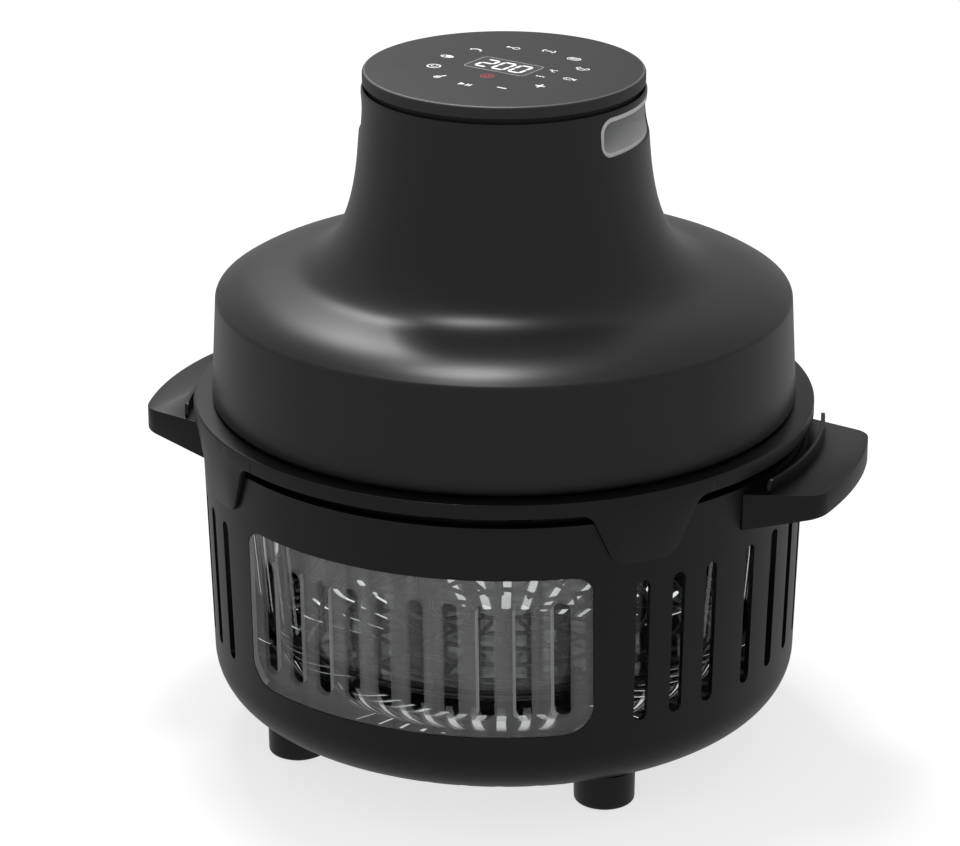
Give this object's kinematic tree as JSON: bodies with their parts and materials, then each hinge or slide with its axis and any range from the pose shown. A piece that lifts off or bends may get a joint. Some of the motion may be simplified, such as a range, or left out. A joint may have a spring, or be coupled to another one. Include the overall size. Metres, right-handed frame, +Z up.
{
  "type": "deep fryer",
  "caption": "Table-top hot-air fryer: slotted round base with side handles and window, glass bowl, wire rack, and a lift-off domed head with heater, fan, finger grips and touch panel.",
  "frame": {"origin": "on the vertical axis of the body, at the underside of the feet", "axes": "+Z up; the window and the display face -Y; the handles are at +X and -X"},
  "size_m": [0.3536, 0.3, 0.3323],
  "materials": {
    "black_plastic": "satin black moulded plastic",
    "smoked_window": "clear smoked plastic",
    "steel_screws": "zinc plated steel",
    "black_rubber": "matt silicone rubber",
    "magnet_steel": "ground steel",
    "clear_glass": "clear borosilicate glass",
    "rack_wire": "polished stainless wire",
    "panel_glass": "dark satin touch panel",
    "display": "dark display lens",
    "circuit_board": "green coated board",
    "grey_liner": "light grey moulded plastic",
    "white_ceramic": "glazed ceramic",
    "reflector_sheet": "bright stainless sheet",
    "insulation": "pressed fibre mat",
    "heater_tube": "oxidised steel tube",
    "probe_steel": "stainless tube",
    "motor_steel": "black coated steel",
    "copper_core": "enamelled windings",
    "bronze": "sintered bronze",
    "fan_aluminium": "pressed aluminium"
  },
  "bodies": {
    "base": {"basket_shell": "black_plastic", "viewing_window": "smoked_window", "collar_ring": "black_plastic", "handle_left": "black_plastic", "handle_right": "black_plastic", "handle_screws": "steel_screws", "collar_screws": "steel_screws", "base_feet": "black_plastic", "foot_pads": "black_rubber", "foot_screws": "steel_screws", "interlock_magnet": "magnet_steel"},
    "bowl": {"glass_bowl": "clear_glass", "bowl_rim_seal": "black_rubber"},
    "rack": {"crisper_rack": "rack_wire", "rack_feet": "black_rubber"},
    "head": {"head_shell": "black_plastic", "head_base_ring": "black_plastic", "head_gasket": "black_rubber", "head_screws": "steel_screws", "touch_panel": "panel_glass", "panel_carrier": "black_plastic", "display_module": "display", "control_board": "circuit_board", "power_board": "circuit_board", "grip_liner_left": "grey_liner", "grip_liner_right": "grey_liner", "cord_gland": "black_plastic", "interlock_switch": "white_ceramic", "heat_reflector": "reflector_sheet", "insulation_disc": "insulation", "fan_guard": "rack_wire", "heater_coil": "heater_tube", "heater_terminals": "white_ceramic", "temperature_probe": "probe_steel", "thermal_fuse": "white_ceramic", "motor_bracket": "steel_screws", "bracket_spacers": "steel_screws", "motor_screws": "steel_screws", "motor_can": "motor_steel", "motor_stator": "copper_core", "motor_bearings": "bronze"},
    "rotor": {"motor_shaft": "magnet_steel", "motor_rotor": "magnet_steel", "cooling_fan": "fan_aluminium", "circulation_fan": "fan_aluminium", "fan_nut": "magnet_steel"}
  },
  "joints": [
    {"name": "bowl_lift", "type": "slide", "parent": "base", "child": "bowl", "axis": [0, 0, 1], "range_m": [0, 0.16]},
    {"name": "rack_lift", "type": "slide", "parent": "bowl", "child": "rack", "axis": [0, 0, 1], "range_m": [0, 0.14]},
    {"name": "head_lift", "type": "slide", "parent": "rack", "child": "head", "axis": [0, 0, 1], "range_m": [0, 0.15]},
    {"name": "fan_spin", "type": "hinge", "parent": "head", "child": "rotor", "pos_m": [0, 0, 0.24], "axis": [0, 0, 1], "continuous": true}
  ]
}
